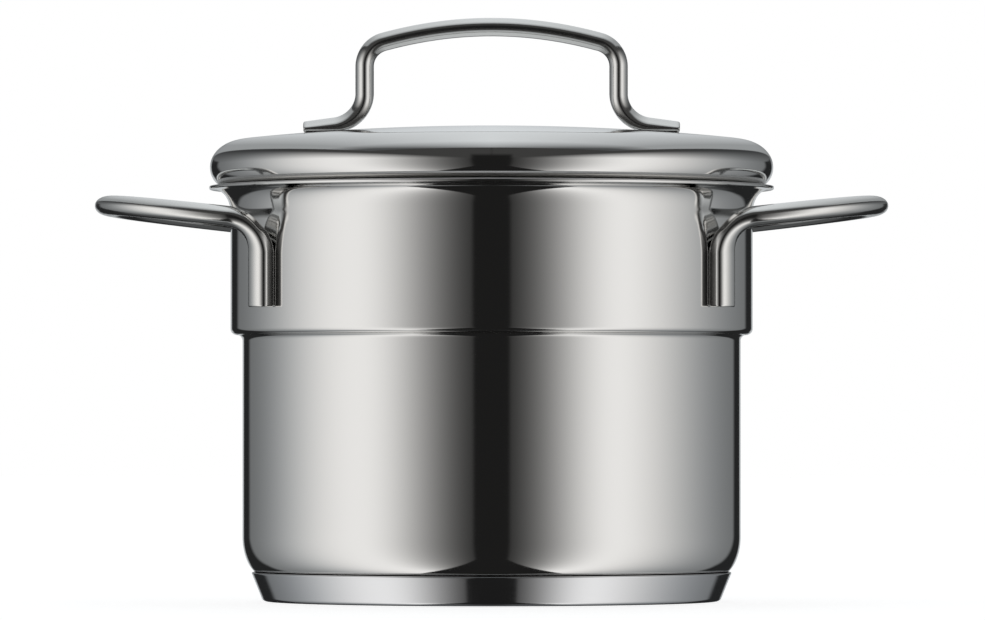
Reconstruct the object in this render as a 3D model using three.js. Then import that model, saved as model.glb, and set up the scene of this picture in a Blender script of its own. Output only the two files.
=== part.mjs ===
// Mini stockpot with a plug-in lid: a stepped, deep-drawn steel pot on an encapsulated base,
// two welded loop handles and a domed lid with a welded arch handle.
// Millimetres, +Z up, origin at the centre of the base's underside, handles along X.
import * as THREE from "three";
import { mergeVertices } from "three/addons/utils/BufferGeometryUtils.js";

// Driving dimensions: pot body
const potInnerDiameter = 120; // the nominal size, across the upper wall
const potSheet = 0.8; // wall and floor sheet
const potFloorZ = 6; // underside of the pot's floor
const footBendReach = 5; // how far the curve at the foot of the wall runs in
const footBendRise = 9; // and how far it runs up
const stepDepth = 2.8; // how much narrower the lower wall is
const stepZ = 62; // middle of the stacking step
const stepRadius = 1.4; // both rounds of the step
const flareZ = 93.7; // where the wall starts to flare into the pouring rim
const flareRadius = 2; // outside of the flare
const rimReach = 3; // flat part of the pouring rim, past the flare
const rimRise = 0.3; // rise of the rim towards its edge

// Driving dimensions: base
const capSheet = 0.6; // steel capsule
const capCornerRadius = 1.3;
const capTaper = 22; // degrees between the capsule's side and the vertical
const capRimInset = 2.15; // top edge of the capsule, inside the lower wall
const capRimGap = 0.3; // groove between that edge and the foot of the pot
const bondGap = 0.05; // bonding layers on both faces of the core
const coreEdgeGap = 0.3; // core to capsule side

// Driving dimensions: lid
const lidSheet = 0.8;
const lidSeatGap = 0.3; // lid bead over the pouring rim
const beadInset = 0.2; // widest part of the rolled lid edge, inside the edge of the rim
const beadUpperReach = 8; // round of the bead's shoulder, across and up
const beadUpperRise = 6.4;
const beadLowerReach = 3.4; // round of the bead's underside, across and up
const beadLowerRise = 4.2;
const domeRadius = 560;
const plugGap = 0.7; // plug skirt to the pot's inner wall
const plugDepth = 8; // how far the skirt reaches below the seat
const plugCornerRadius = 1.2;

// Driving dimensions: handle bars
const barWidth = 7;
const barSquareness = 2.1; // 2 is an ellipse, larger is nearer to a rectangle
const weldGap = 0.3; // filled by the weld pads
const weldPadThickness = 0.2;

// Driving dimensions: side handles
const loopBarThickness = 4.6;
const legAngle = 32; // degrees round the wall from the handle's middle line
const legFootRise = 4.6; // lower end of each leg, over the stacking step
const legBackDepth = 1.4; // bar centre to the flat that is welded to the wall
const legBendRadius = 8.5;
const loopProjection = 31.6; // outermost edge of the loop, from the wall
const loopTipDrop = 1.7; // bar centre at the loop's tip, below the start of the flare
const loopSlope = 0.11; // rise of the loop per millimetre outwards
const loopShoulderInset = 6.9; // plan curve: where the arms start to close, from the tip
const loopShoulderNarrowing = 2.1; // and how far they have closed there
const loopCornerHalfWidth = 16; // plan curve: fullness of the loop's corners
const legWeldLength = 12;
const legWeldWidth = 3;
const legWeldRise = 1.5; // lower end of the pad over the leg's end

// Driving dimensions: lid handle
const archBarThickness = 4.3;
const archRise = 25.5; // highest point of the bar over the top of the dome
const archRadius = 92; // curve of the grip, at the bar's centre
const archLegX = 29.6; // bar centre of the upright legs
const archShoulderRadius = 6;
const archFootRadius = 7.5;
const archFootEndX = 43.8;
const footEndThickness = 2.7; // flattened end of the bar
const footBendThickness = 3.7; // where the foot starts to bend up
const footBackDepth = 0.9; // widest line of the foot over its flat underside
const footEndWidth = 9;
const footEndSquareness = 1.7; // pressed to a thin edge on both sides
const footWeldLength = 4.4;
const footWeldWidth = 4;
const footWeldX = 41; // middle of the weld pad

// Fineness of the facets
const roundSegments = 48;
const arcDivisions = 2; // an arc gets twice as many steps
const barSides = 16;
const bendSteps = 6;
const tiny = 1e-6; // points nearer than this are one point

const degrees = THREE.MathUtils.degToRad;
const steel = new THREE.MeshStandardMaterial({ color: 0xd6d5d2, roughness: 0.12, metalness: 1 });
const handleSteel = new THREE.MeshStandardMaterial({ color: 0xd2d1cd, roughness: 0.15, metalness: 1 });
const baseSteel = new THREE.MeshStandardMaterial({ color: 0xcfcfce, roughness: 0.22, metalness: 1 });
const aluminium = new THREE.MeshStandardMaterial({ color: 0xc2c4c6, roughness: 0.4, metalness: 1 });
const weldMetal = new THREE.MeshStandardMaterial({ color: 0x9b9893, roughness: 0.5, metalness: 1 });

// A named piece of the pot.
function piece(name, geometry, material) {
  const mesh = new THREE.Mesh(geometry, material);
  mesh.name = name;
  return mesh;
}

// A solid turned round the Z axis from a closed outline of (radius, z) points.
function revolve(outline) {
  const points = THREE.ShapeUtils.area(outline) > 0 ? [...outline] : [...outline].reverse();
  const first = points[0];
  if (first.x > 0) points.push(first.clone());
  const turned = new THREE.LatheGeometry(points, roundSegments).rotateX(Math.PI / 2);
  turned.deleteAttribute("normal");
  turned.deleteAttribute("uv");
  return mergeVertices(turned, 1e-4);
}

// The line at a set distance to the left of a polyline, mitred at its corners.
function offsetLine(points, distance) {
  return points.map((point, i) => {
    const before = points[Math.max(i - 1, 0)];
    const after = points[Math.min(i + 1, points.length - 1)];
    const incoming = (i > 0 ? point.clone().sub(before) : after.clone().sub(point)).normalize();
    const outgoing = (i < points.length - 1 ? after.clone().sub(point) : incoming.clone()).normalize();
    const along = incoming.clone().add(outgoing).normalize();
    const stretch = distance / along.dot(incoming);
    const moved = new THREE.Vector2(point.x - along.y * stretch, point.y + along.x * stretch);
    if (point.x === 0) moved.x = 0;
    return moved;
  });
}

// Sheet metal turned round the Z axis: the outside line of its section, and its wall towards the left.
function sheetShell(path, wall) {
  const sampled = path.getPoints(arcDivisions);
  const outside = sampled.filter((point, i) => i === 0 || point.distanceTo(sampled[i - 1]) > tiny);
  outside[0].x = 0;
  const inside = offsetLine(outside, wall);
  return revolve([...outside, ...inside.reverse()]);
}

// Points on the round between the lines from before to corner and from corner to after.
function fillet(before, corner, after, radius, steps) {
  const back = before.clone().sub(corner).normalize();
  const on = after.clone().sub(corner).normalize();
  const half = back.angleTo(on) / 2;
  const middle = back.clone().add(on).normalize();
  const centre = corner.clone().addScaledVector(middle, radius / Math.sin(half));
  const start = corner.clone().addScaledVector(back, radius / Math.tan(half)).sub(centre);
  const turn = Math.PI - 2 * half;
  const axis = start.clone().cross(on).normalize();
  return Array.from({ length: steps + 1 }, (_, i) =>
    start.clone().applyAxisAngle(axis, (turn * i) / steps).add(centre),
  );
}

// Section of a handle bar: a rounded oblong, width along u and thickness along v, cut flat at v = -back.
function barSection({ width, thickness, squareness, back }) {
  const power = 2 / squareness;
  return Array.from({ length: barSides }, (_, i) => {
    const angle = (2 * Math.PI * i) / barSides;
    const u = (width / 2) * Math.sign(Math.cos(angle)) * Math.abs(Math.cos(angle)) ** power;
    const v = (thickness / 2) * Math.sign(Math.sin(angle)) * Math.abs(Math.sin(angle)) ** power;
    return new THREE.Vector2(u, Math.max(v, -back));
  });
}

// A bar along points: each station has a place, a width direction and a section.
function sweptBar(stations) {
  const positions = [];
  const indices = [];
  stations.forEach(({ place, across, section }, i) => {
    const before = stations[Math.max(i - 1, 0)].place;
    const after = stations[Math.min(i + 1, stations.length - 1)].place;
    const along = after.clone().sub(before).normalize();
    const side = across.clone().addScaledVector(along, -across.dot(along)).normalize();
    const up = along.clone().cross(side);
    for (const { x, y } of barSection(section)) {
      positions.push(...place.clone().addScaledVector(side, x).addScaledVector(up, y));
    }
  });
  const ring = (station, k) => station * barSides + (k % barSides);
  for (let s = 0; s + 1 < stations.length; s++) {
    for (let k = 0; k < barSides; k++) {
      indices.push(ring(s, k), ring(s, k + 1), ring(s + 1, k));
      indices.push(ring(s, k + 1), ring(s + 1, k + 1), ring(s + 1, k));
    }
  }
  const last = stations.length - 1;
  for (let k = 1; k + 1 < barSides; k++) {
    indices.push(ring(0, 0), ring(0, k + 1), ring(0, k));
    indices.push(ring(last, 0), ring(last, k), ring(last, k + 1));
  }
  const geometry = new THREE.BufferGeometry();
  geometry.setAttribute("position", new THREE.Float32BufferAttribute(positions, 3));
  geometry.setIndex(indices);
  return geometry;
}

// A flat pad with round ends, length along X, lying on the XY plane.
function roundEndedPad(length, width, thickness) {
  const radius = width / 2;
  const straight = length / 2 - radius;
  const outline = new THREE.Shape();
  outline.absarc(straight, 0, radius, -Math.PI / 2, Math.PI / 2, false);
  outline.absarc(-straight, 0, radius, Math.PI / 2, (3 * Math.PI) / 2, false);
  return new THREE.ExtrudeGeometry(outline, { depth: thickness, bevelEnabled: false, curveSegments: 6 });
}

// Sizes that follow from the driving dimensions
const wallRadius = potInnerDiameter / 2 + potSheet; // outside of the upper wall
const lowerRadius = wallRadius - stepDepth;
const flareCentreX = wallRadius + flareRadius;
const rimSeatZ = flareZ + flareRadius + potSheet; // top of the pouring rim, where it leaves the flare
const legRadius = wallRadius + weldGap + legBackDepth; // bar centre of the legs
const legFootZ = stepZ + stepRadius + legFootRise;

// Deep-drawn pot: floor, curved foot, lower wall, stacking step, upper wall and flared pouring rim.
function potBody() {
  const footStart = lowerRadius - footBendReach;
  const stepTurn = Math.acos(Math.max(0, 1 - stepDepth / (2 * stepRadius)));
  const stepHalf = stepRadius * Math.sin(stepTurn);
  const path = new THREE.Path();
  path.moveTo(0, potFloorZ);
  path.lineTo(footStart, potFloorZ);
  path.absellipse(
    footStart, potFloorZ + footBendRise, footBendReach, footBendRise, -Math.PI / 2, 0, false,
  );
  path.lineTo(lowerRadius, stepZ - stepHalf);
  path.absarc(lowerRadius + stepRadius, stepZ - stepHalf, stepRadius, Math.PI, Math.PI - stepTurn, true);
  path.absarc(wallRadius - stepRadius, stepZ + stepHalf, stepRadius, -stepTurn, 0, false);
  path.lineTo(wallRadius, flareZ);
  path.absarc(flareCentreX, flareZ, flareRadius, Math.PI, Math.PI / 2, true);
  path.lineTo(flareCentreX + rimReach, flareZ + flareRadius + rimRise);
  return piece("pot_body", sheetShell(path, potSheet), steel);
}

// Height of the pot's curved foot at a radius.
function footBendZ(radius) {
  const share = (radius - (lowerRadius - footBendReach)) / footBendReach;
  return potFloorZ + footBendRise * (1 - Math.sqrt(1 - share ** 2));
}

// Steel capsule that closes the base: its edge meets the foot of the pot, and its side tapers to the flat.
const capTurn = degrees(90 - capTaper);
const capSlope = Math.tan(degrees(capTaper));
const capRimRadius = lowerRadius - capRimInset;
const capRimInnerRadius = capRimRadius - capSheet * Math.sin(capTurn);
const capRimZ = footBendZ(capRimInnerRadius) - capSheet * Math.cos(capTurn) - capRimGap;
const capSideRadius = (z) => capRimRadius - (capRimZ - z) * capSlope;
const capSideStartZ = capCornerRadius * (1 - Math.cos(capTurn));
const capFlatRadius = capSideRadius(capSideStartZ) - capCornerRadius * Math.sin(capTurn);

function baseCap() {
  const path = new THREE.Path();
  path.moveTo(0, 0);
  path.lineTo(capFlatRadius, 0);
  path.absarc(capFlatRadius, capCornerRadius, capCornerRadius, -Math.PI / 2, -Math.PI / 2 + capTurn, false);
  path.lineTo(capRimRadius, capRimZ);
  return piece("base_cap", sheetShell(path, capSheet), baseSteel);
}

// Heat-spreading aluminium disc between the capsule and the pot's floor.
function baseCore() {
  const lowZ = capSheet + bondGap;
  const highZ = potFloorZ - bondGap;
  const wallAcross = capSheet / Math.cos(degrees(capTaper)) + coreEdgeGap;
  const outline = [
    new THREE.Vector2(0, lowZ),
    new THREE.Vector2(capFlatRadius - coreEdgeGap, lowZ),
    new THREE.Vector2(capSideRadius(highZ) - wallAcross, highZ),
    new THREE.Vector2(0, highZ),
  ];
  return piece("base_core", revolve(outline), aluminium);
}

// Lid: shallow dome, rolled bead that sits on the rim, and a plug skirt inside the pot.
const lidSeatZ = rimSeatZ + lidSeatGap;
const beadZ = lidSeatZ + beadLowerRise;
const beadRadius = flareCentreX + rimReach - beadInset;
const beadCentreX = beadRadius - beadUpperReach;
const domeSlopeTurn = Math.atan((beadCentreX / domeRadius) * (beadUpperReach / beadUpperRise));
const domeEdgeX = beadCentreX + beadUpperReach * Math.sin(domeSlopeTurn);
const domeEdgeZ = beadZ + beadUpperRise * Math.cos(domeSlopeTurn);
const domeEdgeTurn = Math.asin(domeEdgeX / domeRadius);
const domeCentreZ = domeEdgeZ - domeRadius * Math.cos(domeEdgeTurn);
const domeZ = (radius) => domeCentreZ + Math.sqrt(domeRadius ** 2 - radius ** 2);

function lidShell() {
  const plugRadius = potInnerDiameter / 2 - plugGap;
  const path = new THREE.Path();
  path.absarc(0, domeCentreZ, domeRadius, Math.PI / 2, Math.PI / 2 - domeEdgeTurn, true);
  path.absellipse(beadCentreX, beadZ, beadUpperReach, beadUpperRise, Math.PI / 2 - domeSlopeTurn, 0, true);
  path.absellipse(
    beadRadius - beadLowerReach, beadZ, beadLowerReach, beadLowerRise, 0, -Math.PI / 2, true,
  );
  path.lineTo(plugRadius + plugCornerRadius, lidSeatZ);
  path.absarc(
    plugRadius + plugCornerRadius, lidSeatZ - plugCornerRadius, plugCornerRadius,
    Math.PI / 2, Math.PI, false,
  );
  path.lineTo(plugRadius, lidSeatZ - plugDepth);
  return piece("lid_shell", sheetShell(path, -lidSheet), steel);
}

// Loop handle at +X: two legs flat on the wall, bent out into one flat loop that rises to its tip.
function sideHandle(name) {
  const bar = {
    width: barWidth, thickness: loopBarThickness, squareness: barSquareness, back: loopBarThickness / 2,
  };
  const leg = { ...bar, back: legBackDepth };
  const angle = degrees(legAngle);
  const tipX = wallRadius + loopProjection - barWidth / 2;
  const tipZ = flareZ - loopTipDrop;
  const shoulderX = tipX - loopShoulderInset;
  const loopZ = (x) => tipZ - loopSlope * (tipX - x);
  const legX = legRadius * Math.cos(angle);
  const legY = legRadius * Math.sin(angle);
  const legFoot = new THREE.Vector3(legX, legY, legFootZ);
  const bendCorner = new THREE.Vector3(legX, legY, loopZ(legX));
  const armStart = new THREE.Vector3(legX + 2 * legBendRadius, legY, loopZ(legX + 2 * legBendRadius));
  const bend = fillet(legFoot, bendCorner, armStart, legBendRadius, bendSteps);
  const bendEnd = bend[bend.length - 1];
  const plan = new THREE.CubicBezierCurve3(
    bendEnd,
    new THREE.Vector3(shoulderX, legY - loopShoulderNarrowing, loopZ(shoulderX)),
    new THREE.Vector3(tipX, loopCornerHalfWidth, tipZ),
    new THREE.Vector3(tipX, 0, tipZ),
  );
  const roundWall = new THREE.Vector3(Math.sin(angle), -Math.cos(angle), 0);
  const sideways = new THREE.Vector3(0, -1, 0);
  const half = [{ place: legFoot, across: roundWall, section: leg }];
  bend.forEach((place, i) => {
    const share = i / bendSteps;
    const back = THREE.MathUtils.lerp(legBackDepth, loopBarThickness / 2, share);
    half.push({ place, across: roundWall.clone().lerp(sideways, share), section: { ...bar, back } });
  });
  const loopPoints = plan.getSpacedPoints(2 * bendSteps);
  loopPoints.slice(1).forEach((place, i) => {
    const tangent = plan.getTangentAt((i + 1) / (2 * bendSteps));
    half.push({ place, across: new THREE.Vector3(tangent.y, -tangent.x, 0), section: bar });
  });
  const otherHalf = half.slice(0, -1).reverse().map(({ place, across, section }) => ({
    place: new THREE.Vector3(place.x, -place.y, place.z),
    across: new THREE.Vector3(across.x, -across.y, across.z),
    section,
  }));
  return piece(name, sweptBar([...half, ...otherHalf]), handleSteel);
}

// Weld pad between one leg and the wall, on the side of the handle given by the sign.
function legWeld(name, sign) {
  const pad = roundEndedPad(legWeldLength, legWeldWidth, weldPadThickness);
  pad.rotateY(-Math.PI / 2).rotateZ(Math.PI);
  const mesh = piece(name, pad, weldMetal);
  const angle = sign * degrees(legAngle);
  const middle = wallRadius + weldGap / 2 - weldPadThickness / 2;
  mesh.position.set(
    middle * Math.cos(angle), middle * Math.sin(angle), legFootZ + legWeldRise + legWeldLength / 2,
  );
  mesh.rotation.z = angle;
  return mesh;
}

// A side handle with its weld pads, turned to its side of the pot.
function sideHandleGroup(side, turn) {
  const group = new THREE.Group();
  group.add(sideHandle(`side_handle_${side}`));
  const frontSign = turn === 0 ? -1 : 1;
  group.add(legWeld(`weld_${side}_front`, frontSign));
  group.add(legWeld(`weld_${side}_rear`, -frontSign));
  group.rotation.z = turn;
  return group;
}

// Arch handle across the lid: flattened feet on the dome, upright legs and a shallow curved grip.
function lidHandle() {
  const archTopZ = domeZ(0) + archRise - archBarThickness / 2;
  const archZ = (x) => archTopZ - x ** 2 / (2 * archRadius);
  const footZ = (x) => domeZ(x) + weldGap + footBackDepth;
  const end = new THREE.Vector3(-archFootEndX, 0, footZ(archFootEndX));
  const lowCorner = new THREE.Vector3(-archLegX, 0, footZ(archLegX));
  const highCorner = new THREE.Vector3(-archLegX, 0, archZ(archLegX));
  const gripEnd = highCorner.clone().add(new THREE.Vector3(1, 0, archLegX / archRadius));
  const low = fillet(end, lowCorner, highCorner, archFootRadius, bendSteps);
  const high = fillet(lowCorner, highCorner, gripEnd, archShoulderRadius, bendSteps);
  const gripStartX = high[high.length - 1].x;
  const grip = Array.from({ length: bendSteps }, (_, i) => {
    const x = gripStartX * (1 - (i + 1) / bendSteps);
    return new THREE.Vector3(x, 0, archZ(x));
  });
  const across = new THREE.Vector3(0, 1, 0);
  const { lerp, inverseLerp, clamp } = THREE.MathUtils;
  const half = [end, ...low, ...high, ...grip].map((place, i) => {
    const inward = clamp(inverseLerp(end.x, lowCorner.x, place.x), 0, 1);
    const turned = clamp((i - 1) / bendSteps, 0, 1);
    const footThickness = lerp(footEndThickness, footBendThickness, inward);
    const section = {
      width: lerp(footEndWidth, barWidth, inward),
      thickness: lerp(2 * (footThickness - footBackDepth), archBarThickness, turned),
      squareness: lerp(footEndSquareness, barSquareness, inward),
      back: lerp(footBackDepth, archBarThickness / 2, turned),
    };
    return { place, across, section };
  });
  const otherHalf = half.slice(0, -1).reverse().map(({ place, section }) => ({
    place: new THREE.Vector3(-place.x, 0, place.z),
    across,
    section,
  }));
  return piece("lid_handle", sweptBar([...half, ...otherHalf]), handleSteel);
}

// Weld pad between one foot of the lid handle and the dome.
function footWeld(name, sign) {
  const pad = roundEndedPad(footWeldLength, footWeldWidth, weldPadThickness);
  const mesh = piece(name, pad, weldMetal);
  const lift = weldGap / 2 - weldPadThickness / 2;
  mesh.position.set(sign * footWeldX, 0, domeZ(footWeldX) + lift);
  mesh.rotation.y = sign * Math.asin(footWeldX / domeRadius);
  return mesh;
}

const lid = new THREE.Group();
lid.add(lidShell(), lidHandle(), footWeld("weld_lid_left", -1), footWeld("weld_lid_right", 1));

const stockpot = new THREE.Group();
stockpot.add(potBody(), baseCap(), baseCore());
stockpot.add(sideHandleGroup("right", 0), sideHandleGroup("left", Math.PI));
stockpot.add(lid);

export default stockpot;
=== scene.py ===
import math
import bpy
import numpy as np
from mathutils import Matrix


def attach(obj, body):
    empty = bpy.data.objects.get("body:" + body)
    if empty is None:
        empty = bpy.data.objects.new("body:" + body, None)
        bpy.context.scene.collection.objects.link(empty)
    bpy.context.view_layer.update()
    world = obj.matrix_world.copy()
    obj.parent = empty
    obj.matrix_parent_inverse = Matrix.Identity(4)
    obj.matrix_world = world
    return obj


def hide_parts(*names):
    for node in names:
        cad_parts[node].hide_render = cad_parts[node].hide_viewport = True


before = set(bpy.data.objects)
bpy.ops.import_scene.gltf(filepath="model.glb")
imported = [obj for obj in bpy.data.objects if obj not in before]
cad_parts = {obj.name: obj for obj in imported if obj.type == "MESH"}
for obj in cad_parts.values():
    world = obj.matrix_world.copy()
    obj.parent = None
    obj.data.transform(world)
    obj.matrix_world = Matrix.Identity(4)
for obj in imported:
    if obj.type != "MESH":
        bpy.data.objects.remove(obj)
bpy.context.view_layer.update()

mm = 0.001

turnSegments = 240  # steps round the axis of every turned piece
edgeRound = 0.6  # free sheet edges are dressed to a low oval, not a full round


def line(start, end, count=14):
    # straight run between two (radius, z) points, steps crowded at both ends by a cosine so flats stay flat
    share = (1 - np.cos(np.linspace(0, np.pi, count))) / 2
    return np.outer(1 - share, start) + np.outer(share, end)


def arc(centre, radii, startDeg, endDeg, count=24):
    # ellipse about a centre: (cx + rx cos a, cz + rz sin a) for a from start to end
    a = np.radians(np.linspace(startDeg, endDeg, count))
    return np.stack([centre[0] + radii[0] * np.cos(a), centre[1] + radii[1] * np.sin(a)], 1)


def joinRuns(*runs):
    # runs of points one after the other, with repeated points dropped
    points = np.concatenate(runs)
    step = np.linalg.norm(np.diff(points, axis=0), axis=1)
    return points[np.concatenate([[True], step > 1e-5])]


def sheetOutline(outside, wall, edgeSteps=9):
    # bent sheet in section: the outside line, its copy moved by the wall along the left-hand normal,
    # and a half oval round the free edge between the two
    step = np.gradient(outside, axis=0)
    step /= np.linalg.norm(step, axis=1)[:, None]
    normal = np.stack([-step[:, 1], step[:, 0]], 1)
    inside = outside + wall * normal
    inside[0, 0] = outside[0, 0] = 0.0
    middle = (outside[-1] + inside[-1]) / 2
    half = (outside[-1] - inside[-1]) / 2
    a = np.linspace(0, np.pi, edgeSteps)[1:-1, None]
    edge = middle + np.cos(a) * half + np.sin(a) * abs(wall) / 2 * step[-1] * edgeRound
    return np.concatenate([outside, edge, inside[::-1]]), len(outside) + edgeSteps // 2


def turnedMesh(name, outline, insideFrom, satinStart=0):
    # surface of revolution: (r cos t, r sin t, z) over the outline and t round the axis, ends on the axis;
    # the point attribute "inner" is 1 from the given outline row on, and on the satin rows at the start
    t = np.linspace(0, 2 * np.pi, turnSegments, endpoint=False)
    rows = outline[1:-1]
    grid = np.empty((len(rows), turnSegments, 3))
    grid[..., 0] = rows[:, :1] * np.cos(t)
    grid[..., 1] = rows[:, :1] * np.sin(t)
    grid[..., 2] = rows[:, 1:]
    poles = np.array([[0, 0, outline[0, 1]], [0, 0, outline[-1, 1]]])
    points = np.concatenate([grid.reshape(-1, 3), poles]) * mm
    index = np.arange(len(rows) * turnSegments).reshape(len(rows), turnSegments)
    nextTurn = np.roll(index, -1, 1)
    quads = np.stack([index[:-1], nextTurn[:-1], nextTurn[1:], index[1:]], -1).reshape(-1, 4)
    first, last = len(points) - 2, len(points) - 1
    fanStart = np.stack([np.full(turnSegments, first), nextTurn[0], index[0]], -1)
    fanEnd = np.stack([np.full(turnSegments, last), index[-1], nextTurn[-1]], -1)
    # area under the outline tells which way it runs, so that faces point outwards
    r, z = outline[:, 0], outline[:, 1]
    clockwise = np.sum(r[:-1] * z[1:] - r[1:] * z[:-1]) < 0
    faces = [quads, fanStart, fanEnd]
    if clockwise:
        faces = [f[:, ::-1] for f in faces]
    row = np.arange(len(rows))
    satin = (row >= insideFrom - 1) | (row < satinStart - 1)
    inner = np.concatenate([np.repeat(satin.astype(float), turnSegments), [float(satinStart > 0), 1.0]])
    return meshPiece(name, points, faces, inner)


def barMesh(name, places, across, sections, endRound=0.45, sides=56, endSteps=6):
    # rounded bar along a path; a section holds half width a, half thickness b, squareness n, squareness of
    # the back and depth of the flat back, and is a superellipse u = a |cos|^(2/n), v = b |sin|^(2/n) in the
    # plane across the path, with v kept above the back
    endShare = np.linspace(0, np.pi / 2, endSteps)
    step = np.gradient(places, axis=0)
    along = step / np.linalg.norm(step, axis=1)[:, None]
    run = np.concatenate([[0], np.cumsum(np.linalg.norm(np.diff(places, axis=0), axis=1))])
    # stations are added inside both ends, where the section draws in by a quarter round
    depth = endRound * (1 - np.cos(endShare[:-1]))
    at = np.concatenate([depth, run[(run > endRound) & (run < run[-1] - endRound)], (run[-1] - depth)[::-1]])
    pull = np.interp(at, [0, endRound, run[-1] - endRound, run[-1]], [1, 0, 0, 1])
    pull = endRound * (1 - np.sqrt(np.clip(1 - pull**2, 0, 1)))
    resample = lambda values: np.stack([np.interp(at, run, column) for column in values.T], 1)
    places, along, across, sections = (resample(v) for v in (places, along, across, sections))
    along /= np.linalg.norm(along, axis=1)[:, None]
    side = across - np.sum(across * along, 1)[:, None] * along
    side /= np.linalg.norm(side, axis=1)[:, None]
    up = np.cross(along, side)
    a = np.linspace(0, 2 * np.pi, sides, endpoint=False)
    power = 2 / np.where(np.sin(a) < 0, sections[:, 3:4], sections[:, 2:3])
    u = (sections[:, :1] - pull[:, None]) * np.sign(np.cos(a)) * np.abs(np.cos(a)) ** power
    v = (sections[:, 1:2] - pull[:, None]) * np.sign(np.sin(a)) * np.abs(np.sin(a)) ** power
    v = np.maximum(v, -(sections[:, 4:5] - pull[:, None]))
    grid = places[:, None] + u[..., None] * side[:, None] + v[..., None] * up[:, None]
    points = np.concatenate([grid.reshape(-1, 3), places[:1], places[-1:]]) * mm
    index = np.arange(len(places) * sides).reshape(len(places), sides)
    nextSide = np.roll(index, -1, 1)
    quads = np.stack([index[:-1], nextSide[:-1], nextSide[1:], index[1:]], -1).reshape(-1, 4)
    first, last = len(points) - 2, len(points) - 1
    fanStart = np.stack([np.full(sides, first), nextSide[0], index[0]], -1)
    fanEnd = np.stack([np.full(sides, last), index[-1], nextSide[-1]], -1)
    return meshPiece(name, points, [quads, fanStart, fanEnd])


def meshPiece(name, points, faceSets, inner=None):
    # one smooth mesh object at the origin from point and face arrays
    mesh = bpy.data.meshes.new(name)
    faces = [face for faceSet in faceSets for face in faceSet.tolist()]
    mesh.from_pydata(points.tolist(), [], faces)
    if inner is not None:
        mesh.attributes.new("inner", "FLOAT", "POINT").data.foreach_set("value", inner)
    mesh.shade_smooth()
    mesh.update()
    piece = bpy.data.objects.new(name, mesh)
    bpy.context.collection.objects.link(piece)
    return piece


def newMaterial(name):
    # a metal with its node tree and its shader
    material = bpy.data.materials.new(name)
    material.use_nodes = True
    shader = material.node_tree.nodes["Principled BSDF"]
    shader.inputs["Metallic"].default_value = 1.0
    return material, material.node_tree, shader


def addNode(tree, kind, **settings):
    # one node with its settings
    node = tree.nodes.new(kind)
    for key, value in settings.items():
        setattr(node, key, value)
    return node


def feed(tree, socket, value):
    # a plain number is set on the socket, an output is linked to it
    if isinstance(value, (int, float)):
        socket.default_value = value
    else:
        tree.links.new(value, socket)


def calc(tree, operation, *values):
    # one math node
    node = addNode(tree, "ShaderNodeMath", operation=operation)
    for socket, value in zip(node.inputs, values):
        feed(tree, socket, value)
    return node.outputs[0]


def ringNoise(tree, coordinates, acrossScale, alongScale, detail=3.0):
    # fine lines round the axis: noise that changes fast along radius and height and slowly round the pot
    split = addNode(tree, "ShaderNodeSeparateXYZ")
    tree.links.new(coordinates, split.inputs[0])
    x, y, z = split.outputs
    radius = calc(tree, "SQRT", calc(tree, "ADD", calc(tree, "MULTIPLY", x, x), calc(tree, "MULTIPLY", y, y)))
    turn = addNode(tree, "ShaderNodeCombineXYZ")
    across = calc(tree, "MULTIPLY", radius, acrossScale)
    tree.links.new(calc(tree, "MULTIPLY_ADD", x, alongScale, across), turn.inputs[0])
    tree.links.new(calc(tree, "MULTIPLY", y, alongScale), turn.inputs[1])
    tree.links.new(calc(tree, "MULTIPLY", z, acrossScale), turn.inputs[2])
    noise = addNode(tree, "ShaderNodeTexNoise")
    noise.inputs["Scale"].default_value = 1.0
    noise.inputs["Detail"].default_value = detail
    tree.links.new(turn.outputs[0], noise.inputs["Vector"])
    return noise.outputs["Fac"]


noiseSpan = (0.3, 0.7)  # most values of a noise lie in here


def spread(tree, factor, low, high):
    # the factor of a noise spread between two values
    node = addNode(tree, "ShaderNodeMapRange")
    for socket, value in zip(("From Min", "From Max", "To Min", "To Max"), (*noiseSpan, low, high)):
        node.inputs[socket].default_value = value
    tree.links.new(factor, node.inputs["Value"])
    return node.outputs["Result"]


sheetFinish = {
    "colour": (0.79, 0.785, 0.775, 1), "mirror": (0.045, 0.075), "satin": (0.24, 0.36),
    "lines": 9000.0, "sweep": 60.0, "mirrorRelief": 0.004, "satinRelief": 0.12, "reliefDepth": 0.00005,
}


def sheetSteel(name, finish):
    # mirror-polished outside and satin-turned inside, told apart by the piece's "inner" attribute
    material, tree, shader = newMaterial(name)
    shader.inputs["Base Color"].default_value = finish["colour"]
    coordinates = addNode(tree, "ShaderNodeTexCoord").outputs["Object"]
    inner = addNode(tree, "ShaderNodeAttribute", attribute_name="inner").outputs["Fac"]
    lines = ringNoise(tree, coordinates, finish["lines"], finish["sweep"])
    polished = spread(tree, lines, *finish["mirror"])
    satin = spread(tree, lines, *finish["satin"])
    roughness = addNode(tree, "ShaderNodeMix", data_type="FLOAT")
    tree.links.new(inner, roughness.inputs[0])
    tree.links.new(polished, roughness.inputs[2])
    tree.links.new(satin, roughness.inputs[3])
    tree.links.new(roughness.outputs[0], shader.inputs["Roughness"])
    relief = addNode(tree, "ShaderNodeBump")
    relief.inputs["Distance"].default_value = finish["reliefDepth"]
    strength = calc(tree, "MULTIPLY_ADD", inner, finish["satinRelief"], finish["mirrorRelief"])
    tree.links.new(strength, relief.inputs["Strength"])
    tree.links.new(lines, relief.inputs["Height"])
    tree.links.new(relief.outputs[0], shader.inputs["Normal"])
    return material


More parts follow.
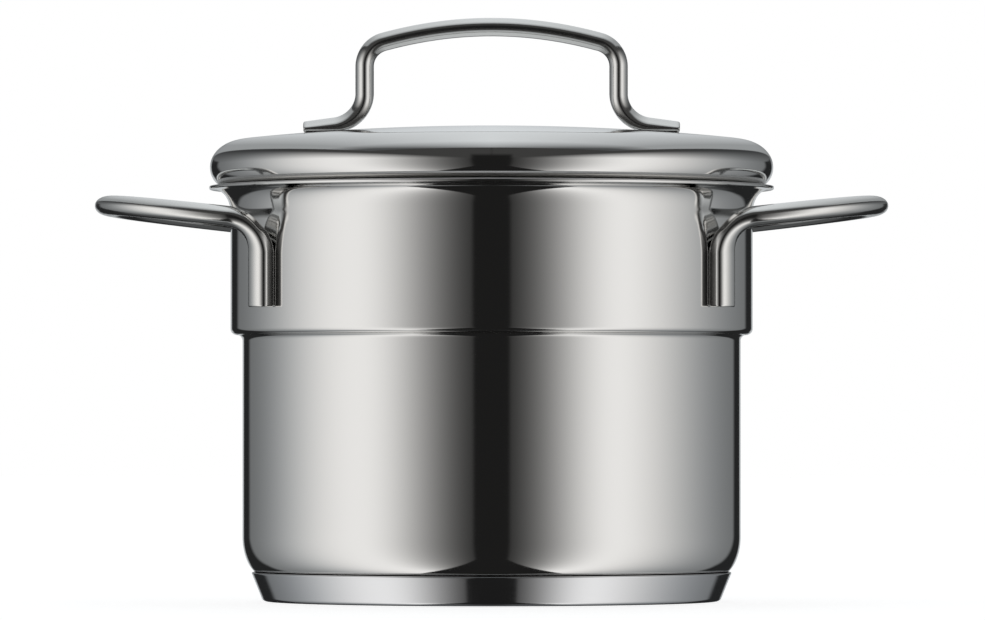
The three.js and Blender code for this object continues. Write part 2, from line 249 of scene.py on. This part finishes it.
baseFinish = {**sheetFinish, "colour": (0.77, 0.775, 0.79, 1), "mirror": (0.06, 0.11)}
barFinish = {"colour": (0.77, 0.765, 0.75, 1), "gloss": (0.11, 0.17), "grain": 700.0, "detail": 4.0}
weldFinish = {"colour": (0.56, 0.54, 0.51, 1), "gloss": (0.38, 0.55), "grain": 900.0, "detail": 2.0}
coreFinish = {"colour": (0.76, 0.77, 0.78, 1), "gloss": (0.3, 0.45), "grain": 250.0, "detail": 2.0}


def cloudyMetal(name, finish):
    # metal of one colour with a soft uneven gloss
    material, tree, shader = newMaterial(name)
    shader.inputs["Base Color"].default_value = finish["colour"]
    coordinates = addNode(tree, "ShaderNodeTexCoord").outputs["Object"]
    noise = addNode(tree, "ShaderNodeTexNoise")
    noise.inputs["Scale"].default_value = finish["grain"]
    noise.inputs["Detail"].default_value = finish["detail"]
    tree.links.new(coordinates, noise.inputs["Vector"])
    tree.links.new(spread(tree, noise.outputs["Fac"], *finish["gloss"]), shader.inputs["Roughness"])
    return material


def dress(piece, body, node, material):
    # the piece moves with its body, stands for the solid and takes its finish
    piece.data.materials.append(material)
    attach(piece, body)
    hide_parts(node)


potSteel = sheetSteel("mirror_steel_pot", sheetFinish)
lidSteel = sheetSteel("mirror_steel_lid", sheetFinish)
baseSteel = sheetSteel("turned_steel_base", baseFinish)
handleSteel = cloudyMetal("polished_bar", barFinish)

# pot: one deep-drawn sheet, sizes in millimetres
pot = {
    "innerRadius": 60.0, "sheet": 0.8, "floorZ": 6.0, "footReach": 5.0, "footRise": 9.0,
    "stepDepth": 2.8, "stepZ": 62.0, "rimZ": 95.7, "rimRadius": 65.8, "rimRise": 0.1,
    "flareReach": 3.5, "flareRise": 5.5, "throatReach": 2.0, "throatRise": 2.0,
}
wallRadius = pot["innerRadius"] + pot["sheet"]
lowerRadius = wallRadius - pot["stepDepth"]


def potPath(p, reach, rise):
    # floor, oval foot, lower wall, two quarter rounds of the step, upper wall, oval flare and rim
    footX = lowerRadius - p["footReach"]
    stepRound = p["stepDepth"] / 2
    flareX, flareZ = wallRadius + reach, p["rimZ"] - rise
    rimX = p["rimRadius"] - edgeRound * p["sheet"] / 2
    return joinRuns(
        line((0, p["floorZ"]), (footX, p["floorZ"])),
        arc((footX, p["floorZ"] + p["footRise"]), (p["footReach"], p["footRise"]), -90, 0, count=34),
        line((lowerRadius, p["floorZ"] + p["footRise"]), (lowerRadius, p["stepZ"] - stepRound), count=18),
        arc((lowerRadius + stepRound, p["stepZ"] - stepRound), (stepRound, stepRound), 180, 90, count=16),
        arc((lowerRadius + stepRound, p["stepZ"] + stepRound), (stepRound, stepRound), -90, 0, count=16),
        line((wallRadius, p["stepZ"] + stepRound), (wallRadius, flareZ), count=16),
        arc((flareX, flareZ), (reach, rise), 180, 90, count=28),
        line((flareX, p["rimZ"]), (rimX, p["rimZ"] + p["rimRise"]), count=10),
    )


def potOutline(p):
    # the sheet's section with a soft flare outside and a tighter throat inside, where the lid sits
    outer, insideFrom = sheetOutline(potPath(p, p["flareReach"], p["flareRise"]), p["sheet"])
    inner, _ = sheetOutline(potPath(p, p["throatReach"], p["throatRise"]), p["sheet"])
    return np.concatenate([outer[:insideFrom], inner[insideFrom:]]), insideFrom


potPiece = turnedMesh("pot_body_steel", *potOutline(pot))
dress(potPiece, "pot", "pot_body", potSteel)
print("pot made:", len(potPiece.data.polygons), "faces")

# steel cap under the aluminium core
cap = {"sheet": 0.6, "corner": 1.3, "taperDeg": 22.0, "rimInset": 2.15, "rimGap": 0.3}


def capOutline(c):
    # flat, round corner and tapered side up to the groove under the foot of the pot
    turn = math.radians(90 - c["taperDeg"])
    rimX = lowerRadius - c["rimInset"]
    share = (rimX - c["sheet"] * math.sin(turn) - lowerRadius + pot["footReach"]) / pot["footReach"]
    footZ = pot["floorZ"] + pot["footRise"] * (1 - math.sqrt(1 - share**2))
    rimZ = footZ - c["sheet"] * math.cos(turn) - c["rimGap"]
    sideZ = c["corner"] * (1 - math.cos(turn))
    sideX = rimX - (rimZ - sideZ) * math.tan(math.radians(c["taperDeg"]))
    flatX = sideX - c["corner"] * math.sin(turn)
    flat = line((0, 0), (flatX, 0))
    outside = joinRuns(
        flat,
        arc((flatX, c["corner"]), (c["corner"], c["corner"]), -90, -90 + math.degrees(turn), count=16),
        line((sideX, sideZ), (rimX, rimZ), count=10),
    )
    return *sheetOutline(outside, c["sheet"]), len(flat)  # the flat underside is satin too


capPiece = turnedMesh("base_cap_steel", *capOutline(cap))
dress(capPiece, "pot", "base_cap", baseSteel)
print("base made:", len(capPiece.data.polygons), "faces")

# lid: one pressed sheet with a rolled bead and a plug skirt
lid = {
    "sheet": 0.8, "seatGap": 0.08, "beadInset": 0.2, "upperReach": 8.0, "upperRise": 6.4, "lowerReach": 3.4,
    "lowerRise": 4.42, "domeRadius": 560.0, "plugGap": 0.7, "plugDepth": 8.0, "plugCorner": 1.2,
}
seatZ = pot["rimZ"] + pot["sheet"] + lid["seatGap"]
beadZ = seatZ + lid["lowerRise"]
beadX = pot["rimRadius"] - lid["beadInset"]
shoulderX = beadX - lid["upperReach"]
shoulderTurn = math.atan(shoulderX / lid["domeRadius"] * lid["upperReach"] / lid["upperRise"])
domeEdgeX = shoulderX + lid["upperReach"] * math.sin(shoulderTurn)
domeEdgeZ = beadZ + lid["upperRise"] * math.cos(shoulderTurn)
domeCentreZ = domeEdgeZ - math.sqrt(lid["domeRadius"] ** 2 - domeEdgeX**2)


def domeZ(x):
    # height of the lid's sphere at a distance from the axis
    return domeCentreZ + math.sqrt(lid["domeRadius"] ** 2 - x**2)


def lidOutline(p):
    # sphere, oval shoulder, oval underside of the bead, seat, corner and plug skirt
    plugX = pot["innerRadius"] - p["plugGap"]
    corner = p["plugCorner"]
    edgeDeg = math.degrees(math.asin(domeEdgeX / p["domeRadius"]))
    shoulderDeg = math.degrees(shoulderTurn)
    outside = joinRuns(
        arc((0, domeCentreZ), (p["domeRadius"], p["domeRadius"]), 90, 90 - edgeDeg, count=40),
        arc((shoulderX, beadZ), (p["upperReach"], p["upperRise"]), 90 - shoulderDeg, 0, count=40),
        arc((beadX - p["lowerReach"], beadZ), (p["lowerReach"], p["lowerRise"]), 0, -90, count=32),
        line((beadX - p["lowerReach"], seatZ), (plugX + corner, seatZ), count=8),
        arc((plugX + corner, seatZ - corner), (corner, corner), 90, 180, count=14),
        line((plugX, seatZ - corner), (plugX, seatZ - p["plugDepth"]), count=10),
    )
    return sheetOutline(outside, -p["sheet"])


lidPiece = turnedMesh("lid_shell_steel", *lidOutline(lid))
dress(lidPiece, "lid", "lid_shell", lidSteel)
print("lid made:", len(lidPiece.data.polygons), "faces")

# the three handles are bent from bar of one width
bar = {"width": 7.0, "squareness": 2.1, "weldGap": 0.3}


def roundCorner(before, corner, after, radius, count=28):
    # circle arc between two straight runs that meet in a corner, as centre + start cos a + side sin a
    before, corner, after = (np.array(v, float) for v in (before, corner, after))
    back = (before - corner) / np.linalg.norm(before - corner)
    on = (after - corner) / np.linalg.norm(after - corner)
    half = math.acos(np.clip(back @ on, -1, 1)) / 2
    middle = (back + on) / np.linalg.norm(back + on)
    centre = corner + middle * radius / math.sin(half)
    start = corner + back * radius / math.tan(half) - centre
    side = -back * radius
    a = np.linspace(0, math.pi - 2 * half, count)[:, None]
    return centre + start * np.cos(a) + side * np.sin(a)


# side handle: one bar with two legs on the wall
loop = {
    "thickness": 4.6, "legDeg": 32.0, "legRise": 4.6, "legStand": 1.7, "legBack": 1.62, "legSquareness": 7.0,
    "bend": 8.5, "projection": 31.6, "tipDrop": 3.7, "slope": 0.11, "shoulderInset": 6.9, "narrowing": 2.1,
    "cornerHalfWidth": 16.0, "softenBy": 0.4, "legSteps": 24, "planSteps": 60,
}


def loopBar(p, side):
    # leg up the wall, bend out, then a cubic plan curve to the tip, mirrored for the other leg;
    # side is +1 or -1 along X
    angle = math.radians(p["legDeg"])
    legRadius = wallRadius + p["legStand"]
    legX, legY = legRadius * math.cos(angle), legRadius * math.sin(angle)
    tipX = wallRadius + p["projection"] - bar["width"] / 2
    tipZ = pot["rimZ"] - p["tipDrop"]
    loopZ = lambda x: tipZ - p["slope"] * (tipX - x)
    footZ = pot["stepZ"] + pot["stepDepth"] / 2 + p["legRise"]
    foot = np.array([legX, legY, footZ])
    armX = legX + 2 * p["bend"]
    bend = roundCorner(foot, (legX, legY, loopZ(legX)), (armX, legY, loopZ(armX)), p["bend"])
    leg = np.linspace(foot, bend[0], p["legSteps"])[:-1]
    shoulder = np.array([tipX - p["shoulderInset"], legY - p["narrowing"], loopZ(tipX - p["shoulderInset"])])
    controls = bend[-1], shoulder, np.array([tipX, p["cornerHalfWidth"], tipZ]), np.array([tipX, 0, tipZ])
    t = np.linspace(0, 1, p["planSteps"])[1:, None]
    weights = (1 - t) ** 3, 3 * t * (1 - t) ** 2, 3 * t**2 * (1 - t), t**3
    plan = sum(weight * control for weight, control in zip(weights, controls))
    half = np.concatenate([leg, bend, plan])
    tangent = np.gradient(half, axis=0)
    flat = np.stack([tangent[:, 1], -tangent[:, 0], np.zeros(len(half))], 1)
    turned = np.concatenate([np.zeros(len(leg)), np.linspace(0, 1, len(bend)), np.ones(len(plan))])[:, None]
    roundWall = np.array([math.sin(angle), -math.cos(angle), 0])
    flat /= np.maximum(np.linalg.norm(flat, axis=1), 1e-9)[:, None]
    level = np.where(turned < 1, np.array([0, -1.0, 0]), flat)
    across = (1 - turned) * roundWall + turned * level
    back = p["legBack"] + turned[:, 0] * (p["thickness"] / 2 - p["legBack"])
    squareLeg = p["legSquareness"], bar["squareness"]  # square-backed leg, round from early in the bend on
    backSquareness = np.interp(turned[:, 0], [0, p["softenBy"]], squareLeg)
    section = np.stack([
        np.full(len(half), bar["width"] / 2), np.full(len(half), p["thickness"] / 2),
        np.full(len(half), bar["squareness"]), backSquareness, back,
    ], 1)
    mirror = np.array([1, -1, 1])
    across[-1] = (-1, 0, 0)
    places = np.concatenate([half, half[-2::-1] * mirror]) * (side, side, 1)
    across = np.concatenate([across, across[-2::-1] * mirror]) * (side, side, 1)
    return places, across, np.concatenate([section, section[-2::-1]])


for sideName, sideSign in (("right", 1), ("left", -1)):
    loopPiece = barMesh(f"side_handle_{sideName}_bar", *loopBar(loop, sideSign))
    dress(loopPiece, "pot", f"side_handle_{sideName}", handleSteel)
    print("side handle made:", sideName, len(loopPiece.data.polygons), "faces")

# lid handle: one bar with two flattened feet on the dome
arch = {
    "thickness": 4.3, "rise": 25.498, "radius": 92.0, "legX": 29.6, "shoulderRound": 6.0, "footRound": 7.5,
    "footEndX": 43.8, "endThickness": 2.7, "bendThickness": 3.7, "footBack": 0.9, "endWidth": 9.0,
    "endSquareness": 1.7, "footSteps": 20, "legSteps": 16, "gripSteps": 40, "rounds": 20,
}


def archBar(p):
    # flattened foot along the dome, round bend, upright leg, round shoulder and a parabola for the grip
    topZ = domeZ(0) + p["rise"] - p["thickness"] / 2
    gripZ = lambda x: topZ - x**2 / (2 * p["radius"])
    footZ = lambda x: domeZ(x) + bar["weldGap"] + p["footBack"]
    end = np.array([-p["footEndX"], 0, footZ(p["footEndX"])])
    low = np.array([-p["legX"], 0, footZ(p["legX"])])
    # shoulder corner, found in a few rounds: where the leg meets the grip's tangent at the shoulder's end
    reach = 0.0
    for _ in range(p["rounds"]):
        slope = (p["legX"] - reach) / p["radius"]
        rising = math.atan(slope)
        reach = p["shoulderRound"] * math.tan((math.pi / 2 - rising) / 2) * math.cos(rising)
    high = np.array([-p["legX"], 0, gripZ(p["legX"] - reach) - reach * slope])
    lowBend = roundCorner(end, low, high, p["footRound"])
    highBend = roundCorner(low, high, high + (1, 0, slope), p["shoulderRound"])
    foot = np.linspace(end, lowBend[0], p["footSteps"])[:-1]
    leg = np.linspace(lowBend[-1], highBend[0], p["legSteps"])[1:-1]
    x = np.linspace(highBend[-1, 0], 0, p["gripSteps"])[1:]
    grip = np.stack([x, np.zeros(len(x)), gripZ(x)], 1)
    half = np.concatenate([foot, lowBend, leg, highBend, grip])
    inward = np.clip((half[:, 0] - end[0]) / (low[0] - end[0]), 0, 1)
    turned = np.concatenate([
        np.zeros(len(foot)), np.linspace(0, 1, len(lowBend)), np.ones(len(half) - len(foot) - len(lowBend)),
    ])
    blend = lambda a, b, share: a + (b - a) * share
    footTop = blend(p["endThickness"], p["bendThickness"], inward) - p["footBack"]
    squareness = blend(p["endSquareness"], bar["squareness"], inward)
    section = np.stack([
        blend(p["endWidth"], bar["width"], inward) / 2, blend(footTop, p["thickness"] / 2, turned),
        squareness, squareness, blend(p["footBack"], p["thickness"] / 2, turned),
    ], 1)
    places = np.concatenate([half, half[-2::-1] * (-1, 1, 1)])
    across = np.tile((0.0, 1.0, 0.0), (len(places), 1))
    return places, across, np.concatenate([section, section[-2::-1]])


archPiece = barMesh("lid_handle_bar", *archBar(arch))
dress(archPiece, "lid", "lid_handle", handleSteel)
print("lid handle made:", len(archPiece.data.polygons), "faces")

# welds and core keep their solids and get a finish
weldMetal = cloudyMetal("weld_metal", weldFinish)
coreMetal = cloudyMetal("core_aluminium", coreFinish)
keptFinish = {node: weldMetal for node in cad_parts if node.startswith("weld_")}
keptFinish["base_core"] = coreMetal
for node, material in keptFinish.items():
    solid = bpy.data.objects[node]
    solid.data.materials.clear()
    solid.data.materials.append(material)
print("solids dressed:", len(keptFinish))

# the studio's lights by brightness and reach; a pair is the place of an edge and its soft width
studio = {
    "left": {"peakDeg": 64.0, "frontFall": 33.4, "backFall": 46.2, "backPower": 2.0},
    "right": {"peakDeg": 60.5, "frontFall": 30.9, "backFall": 44.2, "backPower": 1.6},
    "frontPower": 2.2, "peakEdge": (0.0, 1.0), "middleEdge": (0.0, 0.02),
    "sideLight": 0.84, "room": 0.15, "dark": 0.055, "panelFull": 0.14, "panelTop": 0.69, "leastAside": 0.001,
    "ceiling": 0.82, "ceilingLeast": 0.09, "ceilingFrom": 0.89, "ceilingBack": 0.08, "ceilingFront": 0.7,
    "ceilingEdge": (0.01, 0.03), "leastRise": 0.02, "sideDrop": 0.53, "sideDropTo": 0.8, "frontDrop": 0.68,
    "backDrop": 0.015, "backDropTo": 10.0,
    "card": 0.0135, "cardDeg": (8.2, 2.4), "cardTopDeg": (20.0, 20.0),
    "shadeUnder": 0.36, "shadeEdge": (0.0, 0.02), "shadeBack": (0.05, 0.1),
    "flag": 0.02, "flagDeg": (151.0, 6.0), "flagTopDeg": (6.0, 2.0), "flagSpread": 0.4, "flagSpreadTo": 20.0,
    "flagSteep": 0.5, "flagSteepDeg": (-32.0, 16.0),
    "back": 0.55, "backDeg": (167.0, 5.0), "backLowDeg": (-6.0, 4.0),
    "warm": (1.0, 0.992, 0.98, 1), "cool": (0.955, 0.995, 1.02, 1), "coolDeg": (105.0, 60.0),
    "white": (1, 1, 1, 1),
}


def studioWorld(s):
    # brightness by direction (x, y, z), in words: a soft light on each side, a bell curve over the azimuth
    # from the viewer, that fades to dark between z = panelFull |x| and panelTop |x|; a ceiling from
    # z = ceilingFrom |x| up, cut off in front and weaker towards its edges; a dark card round the viewer that
    # widens downwards; dark flags behind, weaker far below, with a light strip between them at eye level
    world = bpy.data.worlds.new("studio")
    bpy.context.scene.world = world
    world.use_nodes = True
    tree = world.node_tree
    tree.nodes.clear()
    split = addNode(tree, "ShaderNodeSeparateXYZ")
    tree.links.new(addNode(tree, "ShaderNodeTexCoord").outputs["Generated"], split.inputs[0])
    x, y, z = split.outputs
    aside = calc(tree, "ABSOLUTE", x)
    front = calc(tree, "MULTIPLY", y, -1.0)
    degrees = 180 / math.pi
    azimuth = calc(tree, "MULTIPLY", calc(tree, "ARCTAN2", aside, front), degrees)
    height = calc(tree, "MULTIPLY", calc(tree, "ARCSINE", z), degrees)
    below = calc(tree, "MINIMUM", z, 0.0)

    def bell(offset, width, power):
        # exp(-|offset / width|^power), over 2 a little flatter on top than a Gauss curve
        share = calc(tree, "ABSOLUTE", calc(tree, "DIVIDE", offset, width))
        return calc(tree, "EXPONENT", calc(tree, "MULTIPLY", calc(tree, "POWER", share, power), -1.0))

    def edge(value, at, soft):
        # 0 below and 1 above a value, eased over a soft width
        node = addNode(tree, "ShaderNodeMapRange", interpolation_type="SMOOTHSTEP")
        node.inputs["From Min"].default_value = at - soft / 2
        node.inputs["From Max"].default_value = at + soft / 2
        tree.links.new(value, node.inputs["Value"])
        return node.outputs["Result"]

    def mix(share, low, high):
        # low + (high - low) share
        node = addNode(tree, "ShaderNodeMix", data_type="FLOAT")
        for index, value in zip((0, 2, 3), (share, low, high)):
            feed(tree, node.inputs[index], value)
        return node.outputs[0]

    def sideLight(side):
        # falls to nothing in front of its peak and to the room's light behind it
        offset = calc(tree, "SUBTRACT", azimuth, side["peakDeg"])
        near = bell(offset, side["frontFall"], s["frontPower"])
        nearer = calc(tree, "MULTIPLY", near, s["sideLight"] + s["room"])
        far = bell(offset, side["backFall"], side["backPower"])
        farther = calc(tree, "MULTIPLY_ADD", far, s["sideLight"], s["room"])
        return mix(edge(offset, *s["peakEdge"]), nearer, farther)

    ring = mix(edge(x, *s["middleEdge"]), sideLight(s["left"]), sideLight(s["right"]))
    drop = calc(tree, "MAXIMUM", calc(tree, "MINIMUM", height, 0.0), -s["flagSpreadTo"])
    flagFrom = calc(tree, "MULTIPLY_ADD", drop, -s["flagSpread"], azimuth)
    low = calc(tree, "SUBTRACT", 1.0, edge(height, *s["flagTopDeg"]))
    steep = calc(tree, "MULTIPLY_ADD", edge(height, *s["flagSteepDeg"]), 1 - s["flagSteep"], s["flagSteep"])
    low = calc(tree, "MULTIPLY", low, steep)
    ring = mix(calc(tree, "MULTIPLY", edge(flagFrom, *s["flagDeg"]), low), ring, s["flag"])
    level = calc(tree, "MULTIPLY", low, edge(height, *s["backLowDeg"]))
    ring = mix(calc(tree, "MULTIPLY", edge(azimuth, *s["backDeg"]), level), ring, s["back"])

    slope = calc(tree, "DIVIDE", z, calc(tree, "MAXIMUM", aside, s["leastAside"]))
    fade = addNode(tree, "ShaderNodeMapRange")
    fade.inputs["From Min"].default_value = s["panelTop"]
    fade.inputs["From Max"].default_value = s["panelFull"]
    tree.links.new(slope, fade.inputs["Value"])
    sky = mix(fade.outputs["Result"], s["dark"], ring)

    beside = calc(tree, "MAXIMUM", edge(azimuth, *s["cardDeg"]), edge(height, *s["cardTopDeg"]))
    under = calc(tree, "MULTIPLY_ADD", calc(tree, "MULTIPLY", below, below), -s["shadeUnder"], aside)
    clear = calc(tree, "MAXIMUM", edge(under, *s["shadeEdge"]), edge(y, *s["shadeBack"]))
    sky = mix(calc(tree, "MULTIPLY", beside, clear), s["card"], sky)

    rise = calc(tree, "MAXIMUM", z, s["leastRise"])
    outward = calc(tree, "MINIMUM", calc(tree, "DIVIDE", aside, rise), s["sideDropTo"])
    forward = calc(tree, "DIVIDE", front, rise)
    overhead = calc(tree, "MULTIPLY_ADD", outward, -s["sideDrop"], s["ceiling"])
    overhead = calc(tree, "MULTIPLY_ADD", calc(tree, "MAXIMUM", forward, 0.0), -s["frontDrop"], overhead)
    behind = calc(tree, "MAXIMUM", calc(tree, "MINIMUM", forward, 0.0), -s["backDropTo"])
    overhead = calc(tree, "MULTIPLY_ADD", behind, s["backDrop"], overhead)
    overhead = calc(tree, "MAXIMUM", overhead, s["ceilingLeast"])
    reach = calc(tree, "MULTIPLY_ADD", calc(tree, "MAXIMUM", y, 0.0), s["ceilingBack"], z)
    inside = edge(calc(tree, "MULTIPLY_ADD", aside, -s["ceilingFrom"], reach), *s["ceilingEdge"])
    behindCut = edge(calc(tree, "MULTIPLY_ADD", z, s["ceilingFront"], y), *s["ceilingEdge"])
    ceiling = calc(tree, "MULTIPLY", inside, behindCut)
    sky = mix(ceiling, sky, overhead)

    # camera and transmission rays see plain white, all others the studio
    path = addNode(tree, "ShaderNodeLightPath")
    seen = calc(tree, "MAXIMUM", path.outputs["Is Camera Ray"], path.outputs["Is Transmission Ray"])
    tint = addNode(tree, "ShaderNodeMix", data_type="RGBA")
    tree.links.new(calc(tree, "MAXIMUM", ceiling, edge(azimuth, *s["coolDeg"])), tint.inputs[0])
    tint.inputs[6].default_value = s["warm"]
    tint.inputs[7].default_value = s["cool"]
    plain = addNode(tree, "ShaderNodeMix", data_type="RGBA")
    tree.links.new(seen, plain.inputs[0])
    tree.links.new(tint.outputs[2], plain.inputs[6])
    plain.inputs[7].default_value = s["white"]
    light = addNode(tree, "ShaderNodeBackground")
    tree.links.new(plain.outputs[2], light.inputs["Color"])
    tree.links.new(mix(seen, sky, 1.0), light.inputs["Strength"])
    tree.links.new(light.outputs[0], addNode(tree, "ShaderNodeOutputWorld").inputs["Surface"])


# the floor lies a hair under the base, so that the two faces share no plane; lengths in millimetres
ground = {"size": 8000.0, "under": 0.02, "glow": 0.76, "albedo": 0.7}


def studioFloor(g):
    # white floor: most of its white is its own glow, the rest is lit, so the object's shadow stays
    mesh = bpy.data.meshes.new("floor")
    corner = np.array([[-1, -1, 0], [1, -1, 0], [1, 1, 0], [-1, 1, 0]]) * g["size"] / 2
    corner[:, 2] = -g["under"]
    mesh.from_pydata((corner * mm).tolist(), [], [(0, 1, 2, 3)])
    floor = bpy.data.objects.new("floor", mesh)
    bpy.context.collection.objects.link(floor)
    material = bpy.data.materials.new("white_floor")
    material.use_nodes = True
    tree = material.node_tree
    tree.nodes.clear()
    lit = addNode(tree, "ShaderNodeBsdfDiffuse")
    lit.inputs["Color"].default_value = (g["albedo"], g["albedo"], g["albedo"], 1)
    own = addNode(tree, "ShaderNodeEmission")
    seen = addNode(tree, "ShaderNodeLightPath").outputs["Is Camera Ray"]
    tree.links.new(calc(tree, "MULTIPLY", seen, g["glow"]), own.inputs["Strength"])
    both = addNode(tree, "ShaderNodeAddShader")
    tree.links.new(lit.outputs[0], both.inputs[0])
    tree.links.new(own.outputs[0], both.inputs[1])
    tree.links.new(both.outputs[0], addNode(tree, "ShaderNodeOutputMaterial").inputs["Surface"])
    mesh.materials.append(material)
    floor.visible_glossy = False


studioWorld(studio)
studioFloor(ground)

# camera for an image of 985 by 620, lengths in millimetres
view = {
    "distance": 1809.0, "height": 41.7, "aside": 0.21, "aimHeight": 67.8, "focalPixels": 7763.0,
    "imageWidth": 985, "sensorWidth": 36.0, "clipFrom": 50.0, "clipTo": 50000.0,
}
camera = bpy.data.objects.new("camera", bpy.data.cameras.new("camera"))
bpy.context.collection.objects.link(camera)
camera.location = np.array([view["aside"], -view["distance"], view["height"]]) * mm
tilt = math.atan((view["aimHeight"] - view["height"]) / view["distance"])
camera.rotation_euler = (math.pi / 2 + tilt, 0, 0)
camera.data.sensor_fit = "HORIZONTAL"
camera.data.sensor_width = view["sensorWidth"]
camera.data.lens = view["focalPixels"] * view["sensorWidth"] / view["imageWidth"]
camera.data.clip_start = view["clipFrom"] * mm
camera.data.clip_end = view["clipTo"] * mm
bpy.context.scene.camera = camera
bpy.context.scene.view_settings.view_transform = "Standard"
print("studio and camera set")
